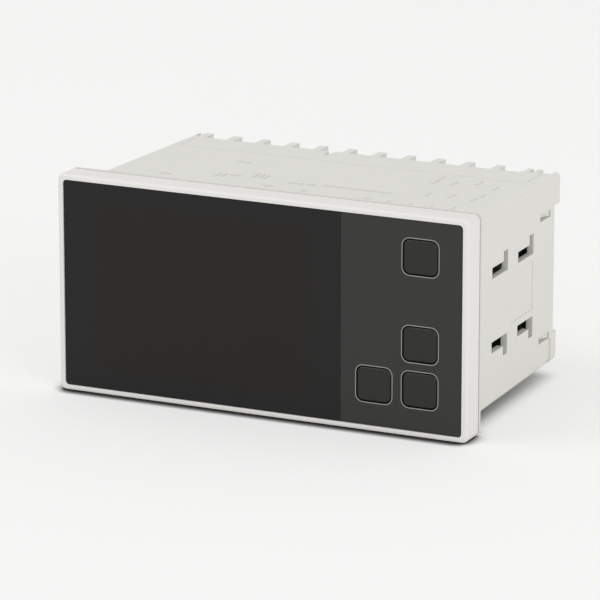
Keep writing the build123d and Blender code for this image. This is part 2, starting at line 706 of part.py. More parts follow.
def long_board(side):
    """The board behind one row of terminals: 1 is the upper one and -1 the lower one."""
    return block(
        -LONG_BOARD_HALF, LONG_BOARD_HALF, LONG_BOARD_FRONT_Y, LONG_BOARD_REAR_Y,
        side * LONG_BOARD_LEVEL, side * LONG_BOARD_OUTER,
    )


def from_left(distance):
    """A place across a long board, measured from its left edge."""
    return -LONG_BOARD_HALF + distance


def from_right(distance):
    """A place across a long board, measured from its right edge."""
    return LONG_BOARD_HALF - distance


def header_strip(side):
    """The plastic strip of one header, under its long board and against the display board."""
    z0 = side * LONG_BOARD_LEVEL
    z1 = side * (LONG_BOARD_LEVEL - HEADER_HEIGHT)
    y1 = DISPLAY_BOARD_BACK + HEADER_DEPTH
    strip = block(-HEADER_WIDTH / 2, HEADER_WIDTH / 2, DISPLAY_BOARD_BACK, y1, z0, z1)
    for x in pin_xs():
        strip -= slab(PIN_SIDE, PIN_SIDE, DISPLAY_BOARD_BACK, y1, x, side * pin_level())
    return strip


def header_pin(x, side):
    """One square pin through its strip and into its hole in the display board."""
    y0 = DISPLAY_BOARD_Y + PIN_END_GAP
    y1 = DISPLAY_BOARD_BACK + HEADER_DEPTH
    return slab(PIN_SIDE, PIN_SIDE, y0, y1, x, side * pin_level())


def lcd_front():
    """The plane of the display glass."""
    return PANEL_BACK + LCD_HOLDER_GAP + LCD_HOLDER_LIP_THICKNESS


def lcd_glass():
    """The display cell."""
    y0 = lcd_front()
    return slab(LCD_WIDTH, LCD_HEIGHT, y0, y0 + LCD_THICKNESS, LCD_X)


def lcd_holder():
    """The frame that carries the display cell on its board, with a lip in front."""
    pocket_width = LCD_WIDTH + 2 * LCD_SIDE_GAP
    pocket_height = LCD_HEIGHT + 2 * LCD_SIDE_GAP
    y0 = PANEL_BACK + LCD_HOLDER_GAP
    width = pocket_width + 2 * LCD_HOLDER_WALL
    height = pocket_height + 2 * LCD_HOLDER_WALL
    frame = slab(width, height, y0, DISPLAY_BOARD_Y, LCD_X)
    frame -= slab(pocket_width, pocket_height, lcd_front(), DISPLAY_BOARD_Y, LCD_X)
    view_width = LCD_WIDTH - 2 * LCD_HOLDER_LIP
    view_height = LCD_HEIGHT - 2 * LCD_HOLDER_LIP
    return frame - slab(view_width, view_height, y0, lcd_front(), LCD_X)


def backlight_half_height():
    """Half the height that the two connector strips leave for the backlight."""
    strip_inner = LCD_HEIGHT / 2 - CONNECTOR_STRIP_EDGE - CONNECTOR_STRIP_THICKNESS
    return strip_inner - BACKLIGHT_GAP


def lcd_backlight():
    """The light guide between display cell and board."""
    left = LCD_X - LCD_WIDTH / 2 + BACKLIGHT_LED_WIDTH + 2 * BACKLIGHT_GAP
    right = LCD_X + LCD_WIDTH / 2
    half = backlight_half_height()
    return block(left, right, lcd_front() + LCD_THICKNESS, DISPLAY_BOARD_Y, -half, half)


def connector_strip(side):
    """One of the two rubber strips that join display cell and board."""
    outer = LCD_HEIGHT / 2 - CONNECTOR_STRIP_EDGE
    half = LCD_WIDTH / 2 - CONNECTOR_STRIP_MARGIN
    return block(
        LCD_X - half, LCD_X + half, lcd_front() + LCD_THICKNESS, DISPLAY_BOARD_Y,
        side * outer, side * (outer - CONNECTOR_STRIP_THICKNESS),
    )


def backlight_led(index):
    """One light beside the light guide."""
    x = LCD_X - LCD_WIDTH / 2 + BACKLIGHT_GAP + BACKLIGHT_LED_WIDTH / 2
    z = (index - (BACKLIGHT_LED_COUNT - 1) / 2) * BACKLIGHT_LED_PITCH
    y0 = DISPLAY_BOARD_Y - BACKLIGHT_LED_DEPTH
    return slab(BACKLIGHT_LED_WIDTH, BACKLIGHT_LED_HEIGHT, y0, DISPLAY_BOARD_Y, x, z)


def transformer_core():
    """The ferrite frame with its middle leg, standing across the lower board."""
    x = from_left(TRANSFORMER_FROM_LEFT)
    bottom = -LONG_BOARD_LEVEL + CORE_LIFT
    y0 = TRANSFORMER_Y - CORE_THICKNESS / 2
    y1 = TRANSFORMER_Y + CORE_THICKNESS / 2
    core = block(x - CORE_WIDTH / 2, x + CORE_WIDTH / 2, y0, y1, bottom, bottom + CORE_HEIGHT)
    z0 = bottom + CORE_LIMB
    z1 = bottom + CORE_HEIGHT - CORE_LIMB
    for side in (-1, 1):
        inner = x + side * CORE_LEG / 2
        outer = x + side * (CORE_WIDTH / 2 - CORE_LIMB)
        core -= block(inner, outer, y0, y1, z0, z1)
    return core


def transformer_box(half_x, half_y, z0, z1):
    """A box about the transformer's upright axis."""
    x = from_left(TRANSFORMER_FROM_LEFT)
    y = TRANSFORMER_Y
    return block(x - half_x, x + half_x, y - half_y, y + half_y, z0, z1)


def bobbin_tube(margin, z0, z1):
    """A square sleeve form round the middle leg, larger than the leg by a margin."""
    return transformer_box(CORE_LEG / 2 + margin, CORE_THICKNESS / 2 + margin, z0, z1)


def bobbin_levels():
    """The lowest and highest plane of the bobbin, inside the core windows."""
    bottom = -LONG_BOARD_LEVEL + CORE_LIFT + CORE_LIMB + BOBBIN_PLAY
    top = -LONG_BOARD_LEVEL + CORE_LIFT + CORE_HEIGHT - CORE_LIMB - BOBBIN_PLAY
    return bottom, top


def bobbin_half_width():
    """Half the width of the bobbin flanges, inside the core windows."""
    return CORE_WIDTH / 2 - CORE_LIMB - BOBBIN_PLAY


def transformer_bobbin():
    """The spool: sleeve, two flanges and two feet on the board."""
    z0, z1 = bobbin_levels()
    half_x = bobbin_half_width()
    half_y = BOBBIN_FLANGE_DEPTH / 2
    spool = bobbin_tube(BOBBIN_PLAY + BOBBIN_WALL, z0, z1)
    for low in (z0, z1 - BOBBIN_WALL):
        spool += transformer_box(half_x, half_y, low, low + BOBBIN_WALL)
    feet = transformer_box(half_x, half_y, -LONG_BOARD_LEVEL, z0)
    feet -= transformer_box(half_x, CORE_THICKNESS / 2 + BOBBIN_FOOT_GAP, -LONG_BOARD_LEVEL, z0)
    return spool + feet - bobbin_tube(BOBBIN_PLAY, z0, z1)


def transformer_winding():
    """The wound coil between the bobbin flanges."""
    z0, z1 = bobbin_levels()
    half_x = bobbin_half_width() - WINDING_MARGIN
    half_y = BOBBIN_FLANGE_DEPTH / 2 - WINDING_MARGIN
    coil = transformer_box(half_x, half_y, z0 + BOBBIN_WALL, z1 - BOBBIN_WALL)
    return coil - bobbin_tube(BOBBIN_PLAY + BOBBIN_WALL, z0, z1)


def chip(x, y, width, depth, height, side):
    """A boxy component on the inner face of a long board: 1 is the upper board and -1 the lower."""
    board = side * LONG_BOARD_LEVEL
    return block(x - width / 2, x + width / 2, y - depth / 2, y + depth / 2, board, board - side * height)


def can(x, y, radius, height):
    """A round component that stands on the lower board."""
    return upright_cylinder(x, y, -LONG_BOARD_LEVEL, -LONG_BOARD_LEVEL + height, radius)


def bulk_capacitor():
    """The large can of the power supply."""
    return can(BULK_CAPACITOR_X, BULK_CAPACITOR_Y, BULK_CAPACITOR_RADIUS, BULK_CAPACITOR_HEIGHT)


def output_capacitor(index):
    """One of the row of small cans."""
    x = from_right(OUTPUT_CAPACITOR_FROM_RIGHT + index * OUTPUT_CAPACITOR_PITCH)
    return can(x, OUTPUT_CAPACITOR_Y, OUTPUT_CAPACITOR_RADIUS, OUTPUT_CAPACITOR_HEIGHT)


def power_fuse():
    """The boxed fuse at the power input."""
    return chip(from_right(FUSE_FROM_RIGHT), FUSE_Y, FUSE_WIDTH, FUSE_DEPTH, FUSE_HEIGHT, -1)


def varistor():
    """A disc that stands on the lower board."""
    x = from_right(VARISTOR_FROM_RIGHT)
    y0 = VARISTOR_Y - VARISTOR_THICKNESS / 2
    y1 = VARISTOR_Y + VARISTOR_THICKNESS / 2
    return rod_along_depth(x, -LONG_BOARD_LEVEL + VARISTOR_RADIUS, y0, y1, VARISTOR_RADIUS)


def rectifier():
    """The small bridge rectifier on the lower board."""
    return chip(RECTIFIER_X, RECTIFIER_Y, RECTIFIER_WIDTH, RECTIFIER_DEPTH, RECTIFIER_HEIGHT, -1)


def relay(index):
    """One of the output relays, just in front of the upper contact tails."""
    x = from_left(RELAY_FROM_LEFT + index * RELAY_PITCH)
    return chip(x, RELAY_Y, RELAY_WIDTH, RELAY_DEPTH, RELAY_HEIGHT, 1)


def optocoupler(index):
    """One of the row of couplers on the upper board."""
    x = from_right(OPTOCOUPLER_FROM_RIGHT + index * OPTOCOUPLER_PITCH)
    return chip(x, OPTOCOUPLER_Y, OPTOCOUPLER_WIDTH, OPTOCOUPLER_DEPTH, OPTOCOUPLER_HEIGHT, 1)


def converter_chip():
    """The signal converter on the upper board."""
    x = from_right(CONVERTER_FROM_RIGHT)
    return chip(x, CONVERTER_Y, CONVERTER_WIDTH, CONVERTER_DEPTH, CONVERTER_HEIGHT, 1)


def processor_chip():
    """The flat chip on the back of the display board."""
    y1 = DISPLAY_BOARD_BACK + PROCESSOR_THICKNESS
    return slab(PROCESSOR_SIDE, PROCESSOR_SIDE, DISPLAY_BOARD_BACK, y1, PROCESSOR_X, PROCESSOR_Z)


def save(node, shape):
    """Writes one node."""
    export_step(shape, f"parts/{node}.step")


save("front_bezel", front_bezel())
save("panel_gasket", panel_gasket())
save("display_window", display_window())
save("keypad_panel", keypad_panel())
for name in KEY_CENTRES:
    save(f"key_{name}", key_cap(name))
    save(f"switch_button_{name}", switch_button(name))
save("switch_bodies", Compound(children=[switch_body(name) for name in KEY_CENTRES]))
save("case", case())
save("terminal_base", terminal_base())
save("terminal_contacts", both_rows(terminal_contact))
save("terminal_clamps", both_rows(terminal_clamp))
save("terminal_screws", both_rows(terminal_screw))
save("display_board", display_board())
save("upper_board", long_board(1))
save("lower_board", long_board(-1))
save("board_headers", Compound(children=[header_strip(side) for side in (1, -1)]))
save("header_pins", Compound(children=[header_pin(x, side) for side in (1, -1) for x in pin_xs()]))
save("lcd_glass", lcd_glass())
save("lcd_holder", lcd_holder())
save("lcd_backlight", lcd_backlight())
save("lcd_connector_strips", Compound(children=[connector_strip(side) for side in (1, -1)]))
save("backlight_leds", Compound(children=[backlight_led(i) for i in range(BACKLIGHT_LED_COUNT)]))
save("processor_chip", processor_chip())
save("transformer_core", transformer_core())
save("transformer_bobbin", transformer_bobbin())
save("transformer_winding", transformer_winding())
save("bulk_capacitor", bulk_capacitor())
save("output_capacitors", Compound(children=[output_capacitor(i) for i in range(OUTPUT_CAPACITOR_COUNT)]))
save("power_fuse", power_fuse())
save("varistor", varistor())
save("rectifier", rectifier())
save("output_relays", Compound(children=[relay(i) for i in range(RELAY_COUNT)]))
save("optocouplers", Compound(children=[optocoupler(i) for i in range(OPTOCOUPLER_COUNT)]))
save("converter_chip", converter_chip())
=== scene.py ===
import json
from math import cos, pi, radians, sin, tan

import bmesh
import bpy
from mathutils import Matrix, Vector


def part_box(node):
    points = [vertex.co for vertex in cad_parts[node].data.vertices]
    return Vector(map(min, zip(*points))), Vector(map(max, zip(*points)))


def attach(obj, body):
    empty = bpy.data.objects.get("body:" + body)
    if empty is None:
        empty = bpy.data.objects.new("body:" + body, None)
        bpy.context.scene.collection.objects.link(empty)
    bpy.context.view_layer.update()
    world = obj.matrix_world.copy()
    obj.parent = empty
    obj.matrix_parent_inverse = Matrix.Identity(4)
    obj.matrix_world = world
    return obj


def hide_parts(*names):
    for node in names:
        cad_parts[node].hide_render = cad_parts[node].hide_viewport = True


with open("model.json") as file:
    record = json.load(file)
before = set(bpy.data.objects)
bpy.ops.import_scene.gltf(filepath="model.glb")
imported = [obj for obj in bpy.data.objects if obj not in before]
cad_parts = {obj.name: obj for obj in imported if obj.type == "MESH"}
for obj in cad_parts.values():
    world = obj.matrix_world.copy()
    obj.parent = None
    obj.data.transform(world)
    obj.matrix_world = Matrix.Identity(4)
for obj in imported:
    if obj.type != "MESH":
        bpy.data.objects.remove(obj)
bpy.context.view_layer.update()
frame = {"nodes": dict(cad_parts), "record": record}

# Lengths are in millimetres and are multiplied by this where Blender needs metres
MM = 0.001

KEYS = ("menu", "up", "shift", "down")
HOUSING = "housing"


# Mesh helpers

# Corners nearer than this become one
WELD_REACH = 0.002

# How many steps make a rounded corner, and how a chamfered edge is rounded
CORNER_STEPS = 8
EDGE_STEPS = 2
EDGE_PROFILE = 0.6


def link_mesh(name, bm, material, smooth_angle=None):
    """Turns a bmesh in metres into a linked object with one material."""
    bmesh.ops.remove_doubles(bm, verts=bm.verts, dist=WELD_REACH * MM)
    bmesh.ops.dissolve_degenerate(bm, edges=bm.edges, dist=WELD_REACH * MM)
    bmesh.ops.recalc_face_normals(bm, faces=bm.faces)
    mesh = bpy.data.meshes.new(name)
    bm.to_mesh(mesh)
    bm.free()
    mesh.materials.append(material)
    piece = bpy.data.objects.new(name, mesh)
    bpy.context.scene.collection.objects.link(piece)
    if smooth_angle:
        mesh.shade_smooth()
        mesh.set_sharp_from_angle(angle=smooth_angle)
    return piece


def evaluated_mesh(piece):
    """A new mesh of the object as its modifiers or its curve make it."""
    bpy.context.view_layer.update()
    graph = bpy.context.evaluated_depsgraph_get()
    return bpy.data.meshes.new_from_object(piece.evaluated_get(graph))


def rounded_outline(width, height, radius):
    """The corner points of a rounded rectangle about the origin, anticlockwise."""
    points = []
    for quarter, (sx, sz) in enumerate(((1, 1), (-1, 1), (-1, -1), (1, -1))):
        cx = sx * (width / 2 - radius)
        cz = sz * (height / 2 - radius)
        for step in range(CORNER_STEPS + 1):
            angle = (quarter + step / CORNER_STEPS) * pi / 2
            points.append((cx + radius * cos(angle), cz + radius * sin(angle)))
    return points


def add_loop(bm, points, x, y, z):
    """One loop of vertices in a plane that faces the front."""
    return [bm.verts.new(Vector((x + px, y, z + pz)) * MM) for px, pz in points]


def bridge(bm, first, second):
    """Quads between two loops of the same length."""
    count = len(first)
    for i in range(count):
        j = (i + 1) % count
        bm.faces.new((first[i], first[j], second[j], second[i]))


def lathe(bm, profile, segments):
    """Turns pairs of radius and depth about the Y axis, closed at both ends."""
    angles = [2 * pi * i / segments for i in range(segments)]
    loops = []
    for radius, depth in profile:
        ring = [(radius * cos(angle), radius * sin(angle)) for angle in angles]
        loops.append(add_loop(bm, ring, 0.0, depth, 0.0))
    for first, second in zip(loops, loops[1:]):
        bridge(bm, first, second)
    bm.faces.new(loops[0])
    bm.faces.new(loops[-1])


def soft_box(bm, low, high, edge):
    """A box between two corners, with its edges rounded off."""
    centre = (low + high) / 2 * MM
    size = (high - low) * MM
    matrix = Matrix.Translation(centre) @ Matrix.Diagonal((*size, 1.0))
    made = bmesh.ops.create_cube(bm, size=1.0, matrix=matrix)
    edges = list({e for v in made["verts"] for e in v.link_edges})
    bmesh.ops.bevel(
        bm, geom=edges, offset=edge * MM, segments=EDGE_STEPS, affect="EDGES", profile=EDGE_PROFILE
    )


# Material helpers

# Noise values lie mostly between these two
NOISE_RANGE = (0.3, 0.7)
PLAIN_DETAIL = 2.0
FINE_DETAIL = 3.0
BEVEL_SAMPLES = 4

# The colour sockets of a Mix node
MIX_FIRST = 6
MIX_SECOND = 7
MIX_RESULT = 2


def linear(*srgb):
    """A colour given in display steps of 0 to 255, as linear light by the sRGB curve."""
    out = []
    for step in srgb:
        c = step / 255
        out.append(c / 12.92 if c <= 0.04045 else ((c + 0.055) / 1.055) ** 2.4)
    return (*out, 1.0)


def scaled(colour, factor):
    """The colour made darker or lighter."""
    return (*(min(c * factor, 1.0) for c in colour[:3]), 1.0)


class Finish:
    """A node material that is built up step by step round one shader."""

    def __init__(self, name, roughness, specular=0.5, metallic=0.0):
        self.material = bpy.data.materials.new(name)
        self.material.use_nodes = True
        self.tree = self.material.node_tree
        self.shader = self.tree.nodes["Principled BSDF"]
        self.shader.inputs["Roughness"].default_value = roughness
        self.shader.inputs["Specular IOR Level"].default_value = specular
        self.shader.inputs["Metallic"].default_value = metallic
        self.place = self.add("ShaderNodeTexCoord").outputs["Object"]
        self.normal = None

    def add(self, kind, **settings):
        node = self.tree.nodes.new(kind)
        for key, value in settings.items():
            setattr(node, key, value)
        return node

    def join(self, output, target):
        self.tree.links.new(output, target)

    def feed(self, value, target):
        """Gives a socket its value: a number, a colour or another socket."""
        if isinstance(value, bpy.types.NodeSocket):
            self.join(value, target)
        else:
            target.default_value = value

    def maths(self, operation, *values):
        """The result of one Math node; each value is a number or a socket."""
        node = self.add("ShaderNodeMath", operation=operation)
        for value, target in zip(values, node.inputs):
            self.feed(value, target)
        return node.outputs[0]

    def noise(self, size, detail=PLAIN_DETAIL, stretch=(1.0, 1.0, 1.0)):
        """Noise with features of about the given size in millimetres, from 0 to 1."""
        node = self.add("ShaderNodeTexNoise")
        node.inputs["Scale"].default_value = 1 / (size * MM)
        node.inputs["Detail"].default_value = detail
        mapping = self.add("ShaderNodeMapping")
        mapping.inputs["Scale"].default_value = stretch
        self.join(self.place, mapping.inputs["Vector"])
        self.join(mapping.outputs["Vector"], node.inputs["Vector"])
        return node.outputs["Fac"]

    def remap(self, value, source, target, **settings):
        """Takes a value from one range to another; each range is a pair of numbers."""
        node = self.add("ShaderNodeMapRange", **settings)
        for name, number in zip(("From Min", "From Max", "To Min", "To Max"), (*source, *target)):
            node.inputs[name].default_value = number
        self.join(value, node.inputs["Value"])
        return node.outputs["Result"]

    def blend(self, factor, first, second):
        """A colour between two colours; the factor and the colours may be sockets."""
        node = self.add("ShaderNodeMix", data_type="RGBA")
        self.feed(factor, node.inputs["Factor"])
        self.feed(first, node.inputs[MIX_FIRST])
        self.feed(second, node.inputs[MIX_SECOND])
        return node.outputs[MIX_RESULT]

    def blend_tones(self, factor, colour, darker, lighter):
        """A colour between a darker and a lighter tone of one colour."""
        return self.blend(factor, scaled(colour, darker), scaled(colour, lighter))

    def colour(self, socket):
        self.join(socket, self.shader.inputs["Base Color"])

    def gloss(self, value, smoother, rougher):
        """Spreads the roughness between two numbers by a noise value."""
        self.join(self.remap(value, NOISE_RANGE, (smoother, rougher)), self.shader.inputs["Roughness"])

    def seen_directly(self, share):
        """A share for rays that come from the camera, a mirror or glass, and 0 for the rest."""
        path = self.add("ShaderNodeLightPath")
        total = path.outputs["Is Camera Ray"]
        for name in ("Is Glossy Ray", "Is Transmission Ray"):
            total = self.maths("MAXIMUM", total, path.outputs[name])
        return self.maths("MULTIPLY", total, share)

    def round_edges(self, radius):
        """Softens sharp edges in the shading."""
        node = self.add("ShaderNodeBevel", samples=BEVEL_SAMPLES)
        node.inputs["Radius"].default_value = radius * MM
        self.normal = node.outputs["Normal"]
        self.join(self.normal, self.shader.inputs["Normal"])

    def bump(self, height, depth):
        """Adds a bump of the given depth."""
        node = self.add("ShaderNodeBump")
        node.inputs["Distance"].default_value = depth * MM
        node.inputs["Strength"].default_value = 1.0
        self.join(height, node.inputs["Height"])
        if self.normal:
            self.join(self.normal, node.inputs["Normal"])
        self.normal = node.outputs["Normal"]
        self.join(self.normal, self.shader.inputs["Normal"])


# Moulded plastic

CLOUD_SIZE = 18.0
MOTTLE_SIZE = 1.6
MOTTLE_SHARE = 0.4
GLOSS_SPREAD = 0.05

# The gloss changes over this many grains
GLOSS_GRAINS = 4


def moulded(name, colour, roughness=0.45, specular=0.5, grain=0.25, depth=0.006, spread=0.02, edge=0.0):
    """Moulded plastic: fine spark texture, faint flow clouds and slightly uneven gloss."""
    finish = Finish(name, roughness, specular)
    if edge:
        finish.round_edges(edge)
    clouds = finish.blend_tones(finish.noise(CLOUD_SIZE, FINE_DETAIL), colour, 1 - spread, 1 + spread)
    mottle = finish.blend_tones(finish.noise(MOTTLE_SIZE, FINE_DETAIL), colour, 1 - spread, 1 + spread)
    finish.colour(finish.blend(MOTTLE_SHARE, clouds, mottle))
    finish.gloss(finish.noise(grain * GLOSS_GRAINS), roughness - GLOSS_SPREAD, roughness + GLOSS_SPREAD)
    finish.bump(finish.noise(grain, FINE_DETAIL), depth)
    return finish.material


# Metal

STREAK_SIZE = 0.4
STREAK_DETAIL = 4.0
STREAK_TONES = (0.86, 1.06)
SMOOTHER_BY = 0.08
ROUGHER_BY = 0.1
METAL_GRAIN = 0.25
METAL_DEPTH = 0.004


def metal(name, colour, roughness, stretch, edge=0.0):
    """Plated metal with fine streaks, which stretch draws out into lines."""
    finish = Finish(name, roughness, metallic=1.0)
    if edge:
        finish.round_edges(edge)
    streaks = finish.noise(STREAK_SIZE, STREAK_DETAIL, stretch)
    finish.colour(finish.blend_tones(streaks, colour, *STREAK_TONES))
    finish.gloss(streaks, roughness - SMOOTHER_BY, roughness + ROUGHER_BY)
    finish.bump(finish.noise(METAL_GRAIN, FINE_DETAIL, stretch), METAL_DEPTH)
    return finish.material


# Circuit board

BOARD_ROUGHNESS = 0.32
TRACK_PITCH = 2.4
TRACK_TONE = 1.5
BOARD_GRAIN = 0.6
BOARD_DEPTH = 0.01


def laminate(name, colour):
    """Green circuit board: solder mask with faint tracks under it."""
    finish = Finish(name, BOARD_ROUGHNESS)
    tracks = finish.add("ShaderNodeTexVoronoi", distance="MANHATTAN", feature="DISTANCE_TO_EDGE")
    tracks.inputs["Scale"].default_value = 1 / (TRACK_PITCH * MM)
    finish.join(finish.place, tracks.inputs["Vector"])
    mask = finish.remap(tracks.outputs["Distance"], NOISE_RANGE, (0.0, 1.0))
    finish.colour(finish.blend(mask, scaled(colour, TRACK_TONE), colour))
    finish.bump(finish.noise(BOARD_GRAIN), BOARD_DEPTH)
    return finish.material


# Tape and layered rubber

BAND_ROUGHNESS = 0.5
BAND_WANDER = 0.6
BAND_TONES = (0.82, 1.08)
BAND_DEPTH = 0.04

# A Wave node goes through this many radians in each unit of its scaled place
WAVE_RATE = 20


def banded(name, colour, width):
    """Wound tape or layered rubber: narrow bands, one above the other, 2 pi widths apart."""
    finish = Finish(name, BAND_ROUGHNESS)
    bands = finish.add("ShaderNodeTexWave", bands_direction="Z", wave_profile="SIN")
    bands.inputs["Scale"].default_value = 1 / (width * MM) / WAVE_RATE
    bands.inputs["Distortion"].default_value = BAND_WANDER
    finish.join(finish.place, bands.inputs["Vector"])
    finish.colour(finish.blend_tones(bands.outputs["Fac"], colour, *BAND_TONES))
    finish.bump(bands.outputs["Fac"], BAND_DEPTH)
    return finish.material


# Smoked window

WINDOW_ROUGHNESS = 0.22
WINDOW_CLOUDS = 9.0
WINDOW_GRAIN = 0.5
WINDOW_DEPTH = 0.0006
SMOKE_TONES = ((0.0074, 0.0074, 0.0073, 1.0), (0.0090, 0.0088, 0.0086, 1.0))
CELL_TONES = ((0.0090, 0.0052, 0.0024, 1.0), (0.0118, 0.0066, 0.0036, 1.0))

# The cell that shows ends this far inside the display glass, with an edge this soft
CELL_INSET = Vector((3.5, 0.0, 0.5))
CELL_SOFTNESS = 3.0

# Specular level of the dark front pieces
DARK_SPECULAR = 0.26


def smoked(name):
    """The smoked window: dark, half gloss, with the display cell showing faintly through it."""
    finish = Finish(name, WINDOW_ROUGHNESS, specular=DARK_SPECULAR)
    low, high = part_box("lcd_glass")
    centre = (low + high) / 2
    half = (high - low) / 2 - CELL_INSET * MM
    soft = CELL_SOFTNESS * MM
    apart = finish.add("ShaderNodeSeparateXYZ")
    finish.join(finish.place, apart.inputs["Vector"])
    reach = []
    for axis, middle, size in (("X", centre.x, half.x), ("Z", centre.z, half.z)):
        away = finish.maths("ABSOLUTE", finish.maths("SUBTRACT", apart.outputs[axis], middle))
        ends = (size + soft, size - soft)
        reach.append(finish.remap(away, ends, (0.0, 1.0), interpolation_type="SMOOTHSTEP"))
    inside = finish.maths("MULTIPLY", *reach)
    clouds = finish.noise(WINDOW_CLOUDS, FINE_DETAIL)
    smoke = finish.blend(clouds, *SMOKE_TONES)
    cell = finish.blend(clouds, *CELL_TONES)
    finish.colour(finish.blend(inside, smoke, cell))
    finish.bump(finish.noise(WINDOW_GRAIN), WINDOW_DEPTH)
    return finish.material


# Materials: each slot's colour and how it differs from plain moulded plastic

BEZEL_COLOUR = linear(224, 222, 219)
CASE_COLOUR = linear(217, 216, 210)
BASE_COLOUR = linear(217, 216, 211)
GASKET_COLOUR = linear(214, 212, 208)
RING_COLOUR = linear(150, 150, 147)

PLASTICS = {
    "bezel_plastic": (BEZEL_COLOUR, {"roughness": 0.38, "depth": 0.004, "edge": 0.1}),
    "case_plastic": (CASE_COLOUR, {"roughness": 0.5, "depth": 0.008, "edge": 0.12}),
    "base_plastic": (BASE_COLOUR, {"roughness": 0.5, "depth": 0.008, "edge": 0.12}),
    "gasket_rubber": (GASKET_COLOUR, {"roughness": 0.6, "specular": 0.3, "depth": 0.01}),
    "keypad_plastic": (
        (0.0300, 0.0305, 0.0285, 1.0),
        {"roughness": 0.38, "specular": DARK_SPECULAR, "grain": 0.3, "depth": 0.002, "spread": 0.05},
    ),
    "key_plastic": (
        (0.0200, 0.0197, 0.0185, 1.0),
        {"roughness": 0.4, "specular": DARK_SPECULAR, "grain": 0.3, "depth": 0.003, "spread": 0.05},
    ),
    "outline_paint": (RING_COLOUR, {"roughness": 0.5, "specular": 0.3, "grain": 0.3, "depth": 0.002}),
    "switch_plunger": ((0.04, 0.04, 0.04, 1.0), {"roughness": 0.4}),
    "black_plastic": ((0.02, 0.02, 0.02, 1.0), {"roughness": 0.5}),
    "white_plastic": ((0.7, 0.7, 0.68, 1.0), {"roughness": 0.5}),
    "display_glass": ((0.06, 0.055, 0.045, 1.0), {"roughness": 0.12}),
    "light_guide": ((0.75, 0.75, 0.73, 1.0), {"roughness": 0.25}),
    "ferrite": ((0.05, 0.05, 0.052, 1.0), {"roughness": 0.6, "depth": 0.02}),
    "capacitor_sleeve": ((0.02, 0.025, 0.06, 1.0), {"roughness": 0.3}),
    "varistor_coat": ((0.05, 0.14, 0.36, 1.0), {"roughness": 0.4, "depth": 0.02}),
    "relay_plastic": ((0.03, 0.03, 0.032, 1.0), {"roughness": 0.4}),
}
MATERIALS = {slot: moulded(slot, colour, **settings) for slot, (colour, settings) in PLASTICS.items()}


def add_material(maker, slot, *values, **settings):
    """Adds the material of a slot that isn't plain moulded plastic."""
    MATERIALS[slot] = maker(slot, *values, **settings)


add_material(smoked, "smoked_window")
add_material(metal, "contact_metal", (0.78, 0.74, 0.62, 1.0), 0.32, (1.0, 1.0, 9.0), edge=0.1)
add_material(metal, "screw_steel", (0.66, 0.65, 0.63, 1.0), 0.3, (1.0, 1.0, 1.0))
add_material(laminate, "board_laminate", (0.010, 0.055, 0.026, 1.0))
add_material(banded, "strip_rubber", (0.12, 0.12, 0.12, 1.0), 0.2)
add_material(banded, "winding_tape", (0.70, 0.50, 0.08, 1.0), 0.8)


def dress_frame():
    """Gives each node of the frame its finish."""
    for row in frame["record"]["subparts"]:
        mesh = frame["nodes"][row["node"]].data
        mesh.materials.clear()
        mesh.materials.append(MATERIALS[row["material_slot"]])


def finish_piece(piece):
    """Fixes a new piece to the housing."""
    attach(piece, HOUSING)


# Light grey ring round each key

RING_WIDTH = 0.18
RING_GAP = 0.31
RING_THICKNESS = 0.02
KEY_CORNER = 1.3

# How far a key's hidden flange reaches past what shows of it
KEY_FLANGE = 0.8


def key_ring(key):
    """A thin raised light grey line on the key panel, just outside the opening of one key."""
    low, high = (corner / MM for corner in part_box(f"key_{key}"))
    panel_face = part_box("keypad_panel")[0].y / MM
    width = high.x - low.x - 2 * KEY_FLANGE
    height = high.z - low.z - 2 * KEY_FLANGE
    x = (low.x + high.x) / 2
    z = (low.z + high.z) / 2
    front = panel_face - RING_THICKNESS
    outer = RING_GAP + RING_WIDTH
    bm = bmesh.new()
    loops = []
    for margin, y in ((RING_GAP, panel_face), (RING_GAP, front), (outer, front), (outer, panel_face)):
        outline = rounded_outline(width + 2 * margin, height + 2 * margin, KEY_CORNER + margin)
        loops.append(add_loop(bm, outline, x, y, z))
    for first, second in zip(loops, loops[1:] + loops[:1]):
        bridge(bm, first, second)
    ring = link_mesh(f"key_ring_{key}", bm, MATERIALS["outline_paint"])
    finish_piece(ring)


# Terminal screws

SCREW_SEGMENTS = 28
SCREW_SMOOTH_ANGLE = radians(35)
SCREW_LENGTH = 4.6
TIP_LEAD = 0.2
TIP_STEP = 0.3
THREAD_ROOT = 1.22
THREAD_PITCH = 0.5
SHANK_RADIUS = 1.5
NECK_LENGTH = 0.25

# Length of the shank, at the tip and under the head, that has no thread
PLAIN_LENGTH = 0.6

HEAD_RADIUS = 2.4
HEAD_HEIGHT = 1.7
HEAD_CHAMFER = 0.12

# The dome of the head: how far inside its radius and below its top each ring lies
HEAD_DOME = ((0.0, 0.75), (0.16, 0.4), (0.5, 0.12), (1.0, 0.0))

SLOT_WIDTH = 0.62
SLOT_REACH = 1.5
SLOT_DEPTH = 1.3
SLOT_EDGE = 0.08
SLOT_OVERCUT = 1.0

# Each screw is turned on from the one before by these degrees, within a quarter turn
SCREW_TURN = 53
QUARTER_TURN = 90


